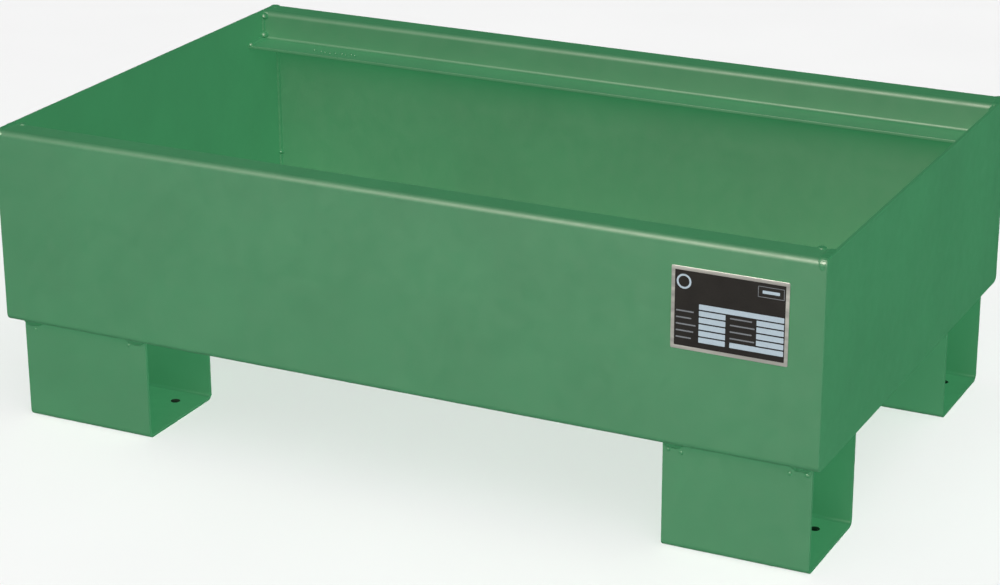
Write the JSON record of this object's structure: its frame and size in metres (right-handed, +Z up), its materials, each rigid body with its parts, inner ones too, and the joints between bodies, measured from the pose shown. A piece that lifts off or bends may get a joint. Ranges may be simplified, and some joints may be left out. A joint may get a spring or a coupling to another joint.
{
  "type": "spill containment pallet",
  "caption": "Welded sheet steel sump tray with stepped rims for a grating, standing on open U-shaped feet that leave room for forks underneath.",
  "frame": {"origin": "on the floor, under the middle of the tray, in the plane of the four foot undersides", "axes": "+X along the length towards the end with the type plate, +Y from the front wall with the type plate to the rear wall, +Z up"},
  "size_m": [0.8, 0.5009, 0.2865],
  "materials": {
    "green_powder_coat": "semi-gloss powder coat with faint orange peel",
    "coated_weld": "semi-gloss powder coat over rippled weld metal",
    "type_plate": "satin anodised with a black printed ground and light blank fields"
  },
  "bodies": {
    "root": {"tub_pan": "green_powder_coat", "end_wall_left": "green_powder_coat", "end_wall_right": "green_powder_coat", "foot_front_left": "green_powder_coat", "foot_front_right": "green_powder_coat", "foot_rear_left": "green_powder_coat", "foot_rear_right": "green_powder_coat", "weld_foot_front_left_front_left": "coated_weld", "weld_foot_front_left_front_right": "coated_weld", "weld_foot_front_left_back_left": "coated_weld", "weld_foot_front_left_back_right": "coated_weld", "weld_foot_front_right_front_left": "coated_weld", "weld_foot_front_right_front_right": "coated_weld", "weld_foot_front_right_back_left": "coated_weld", "weld_foot_front_right_back_right": "coated_weld", "weld_foot_rear_left_front_left": "coated_weld", "weld_foot_rear_left_front_right": "coated_weld", "weld_foot_rear_left_back_left": "coated_weld", "weld_foot_rear_left_back_right": "coated_weld", "weld_foot_rear_right_front_left": "coated_weld", "weld_foot_rear_right_front_right": "coated_weld", "weld_foot_rear_right_back_left": "coated_weld", "weld_foot_rear_right_back_right": "coated_weld", "weld_seam_left": "coated_weld", "weld_seam_right": "coated_weld", "weld_rim_front_left": "coated_weld", "weld_rim_front_right": "coated_weld", "weld_rim_rear_left": "coated_weld", "weld_rim_rear_right": "coated_weld", "weld_cap_front_left": "coated_weld", "weld_cap_front_right": "coated_weld", "weld_cap_rear_left": "coated_weld", "weld_cap_rear_right": "coated_weld", "type_plate": "type_plate"}
  },
  "joints": []
}
